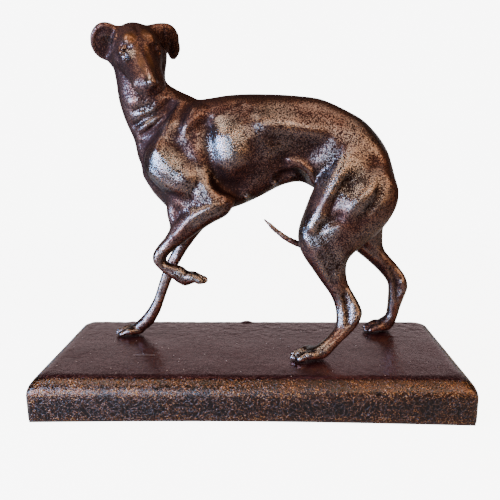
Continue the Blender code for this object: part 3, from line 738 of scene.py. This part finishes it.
def plinth_finish():
    finish, tree, shader, place = new_finish("bronzed cast iron, glossy")
    relief = sand_relief(tree, place, 0.9)
    patch = blotches(tree, place, 14)
    fine, top, rear = wear(tree, "fine", "top", "rear")
    # the sides carry thin wandering ridges, the marks of sand that has moved a little
    wander = calculate(tree, "SUBTRACT", blotches(tree, place, 2.6, 2.0), 0.5)
    ridge = spread(tree, calculate(tree, "ABSOLUTE", wander), 0.0, 0.045, 1, 0, "SMOOTHSTEP")
    sand = calculate(tree, "MULTIPLY", relief, 0.55)
    tops = add_up(tree, sand, spread(tree, fine, 0.4, 0.8, 0, 0.22), spread(tree, ridge, 0, 1, -0.10, 0.34),
                  spread(tree, patch, 0.3, 0.7, -0.20, 0.10), spread(tree, top, 0, 1, 0, -0.40))
    clean = spread(tree, tops, -0.15, 0.30, 0, 1, "SMOOTHSTEP")
    bare = spread(tree, tops, 0.32, 0.62, 0, 0.85, "SMOOTHSTEP")
    side = blend(tree, clean, tint("120a08"), blend(tree, patch, tint("3e2010"), tint("522c14")))
    face = blend(tree, patch, tint("5c2e30"), tint("763e40"))
    colour = blend(tree, bare, blend(tree, top, side, face), tint("8f6232"))
    marks = pale_marks(tree, place, top)
    lumps = blotches(tree, place, 5, 3.0, 0.55)
    lumps = calculate(tree, "MULTIPLY", lumps, spread(tree, rear, 0, 1, 1.2, 4.5))
    depth = calculate(tree, "MULTIPLY", add_up(tree, relief, ridge), spread(tree, top, 0, 1, 0.9, 0.28))
    bump = add(tree, "Bump", {"Height": add_up(tree, depth, lumps), "Strength": 1.0,
                              "Distance": 0.15 / MM}).outputs["Normal"]
    feed(tree, shader, {
        "Base Color": blend(tree, marks, colour, tint("c9b4ae")),
        "Metallic": 0.95,
        "Roughness": add_up(tree, spread(tree, bare, 0, 1, 0.24, 0.34), spread(tree, marks, 0, 1, 0, 0.3)),
        "Normal": bump,
        "Coat Normal": bump,
        "Coat Weight": 0.5,
        "Coat Roughness": 0.12,
    })
    return finish


for cast, iron in ((skin, figure_finish()), (base_skin, plinth_finish())):
    cast.materials.clear()
    cast.materials.append(iron)
    print(cast.name, "is", iron.name)

# %% [markdown]
# ## Floor and light
# The picture has a plain white ground.  A pale disc that fades out towards its rim gives
# one without a horizon line.  The light is that of a room: two cool windows on the left with
# warm wood between them, a pale far wall, the room behind the camera, the ceiling, and a
# warm door on the right.  Each is a softbox, and its colour shows in the sparks on the grain.

# %% Floor
WHITE = 8.0                                   # brightness at which the film shows white


def pale_floor(radius):
    """Disc of white paper that is clear at its rim, with its radius in metres."""
    work = bmesh.new()
    bmesh.ops.create_circle(work, cap_ends=True, radius=radius, segments=96)
    mesh = bpy.data.meshes.new("floor")
    work.to_mesh(mesh)
    work.free()
    floor = bpy.data.objects.new("floor", mesh)
    bpy.context.collection.objects.link(floor)
    finish, tree, shader, place = new_finish("matt white paper")
    feed(tree, shader, {"Base Color": tint("a8a6a4"), "Roughness": 0.9})
    away = add(tree, "VectorMath", {0: place}, operation="LENGTH").outputs["Value"]
    fade = spread(tree, away, radius * 0.35, radius * 0.95, 0, 1, "SMOOTHSTEP")
    clear = add(tree, "BsdfTransparent")
    # the camera sees the paper lit as brightly as the white room beyond it
    glow = add(tree, "Emission", {"Color": (1.0, 0.995, 0.985, 1.0), "Strength": WHITE * 0.92})
    seen = add(tree, "LightPath").outputs["Is Camera Ray"]
    lit = add(tree, "AddShader", {0: shader.outputs[0], 1: glow.outputs[0]})
    paper = add(tree, "MixShader", {0: seen, 1: shader.outputs[0], 2: lit.outputs[0]})
    mix = add(tree, "MixShader", {0: fade, 1: paper.outputs[0], 2: clear.outputs[0]})
    tree.links.new(mix.outputs[0], tree.nodes["Material Output"].inputs["Surface"])
    mesh.materials.append(finish)
    return floor


pale_floor(0.9)

# %% Lights
def softbox(name, at, look, size, power, colour):
    """Oblong lamp at a place, turned to what it looks at."""
    lamp = bpy.data.lights.new(name, "AREA")
    lamp.shape, lamp.size, lamp.size_y = "RECTANGLE", *size
    lamp.energy, lamp.color = power, colour
    box = bpy.data.objects.new(name, lamp)
    box.location = at
    box.rotation_euler = (Vector(look) - Vector(at)).to_track_quat("-Z", "Y").to_euler()
    box.visible_camera = False
    bpy.context.collection.objects.link(box)


MIDDLE = (0, 0, 0.10)                         # most lamps look at the middle of the dog
softbox("far wall", (0.0, 1.3, 0.36), (0, 0, 0.05), (2.4, 0.5), 2.6, (1.0, 0.91, 0.92))
softbox("left window", (-0.84, -0.53, 0.19), MIDDLE, (0.4, 0.4), 38, (0.24, 0.51, 1.0))
softbox("front window", (-0.42, -0.90, 0.19), MIDDLE, (0.35, 0.35), 14, (0.45, 0.68, 1.0))
softbox("wood between the windows", (-0.70, -0.70, 0.19), MIDDLE, (0.3, 0.4), 7, (1.0, 0.45, 0.16))
softbox("room", (0.30, -0.81, 0.60), MIDDLE, (0.5, 0.4), 5.6, (1.0, 0.84, 0.66))
softbox("ceiling left", (-0.48, -0.22, 0.95), MIDDLE, (0.5, 0.5), 7, (1.0, 0.86, 0.70))
softbox("ceiling right", (0.35, -0.20, 0.98), MIDDLE, (0.6, 0.5), 4, (1.0, 0.76, 0.56))
softbox("door on the right", (0.81, -0.47, 0.44), MIDDLE, (0.5, 0.5), 5, (1.0, 0.68, 0.42))

world = bpy.data.worlds.new("white room")
world.use_nodes = True
sky = world.node_tree
ground = sky.nodes["Background"]
feed(sky, ground, {"Color": (0.95, 0.97, 1.0, 1.0), "Strength": 0.04})
seen = add(sky, "Background", {"Color": (1.0, 1.0, 1.0, 1.0), "Strength": WHITE})
ray = add(sky, "LightPath")
both = add(sky, "MixShader", {0: ray.outputs["Is Camera Ray"], 1: ground.outputs[0], 2: seen.outputs[0]})
sky.links.new(both.outputs[0], sky.nodes["World Output"].inputs["Surface"])
bpy.context.scene.world = world
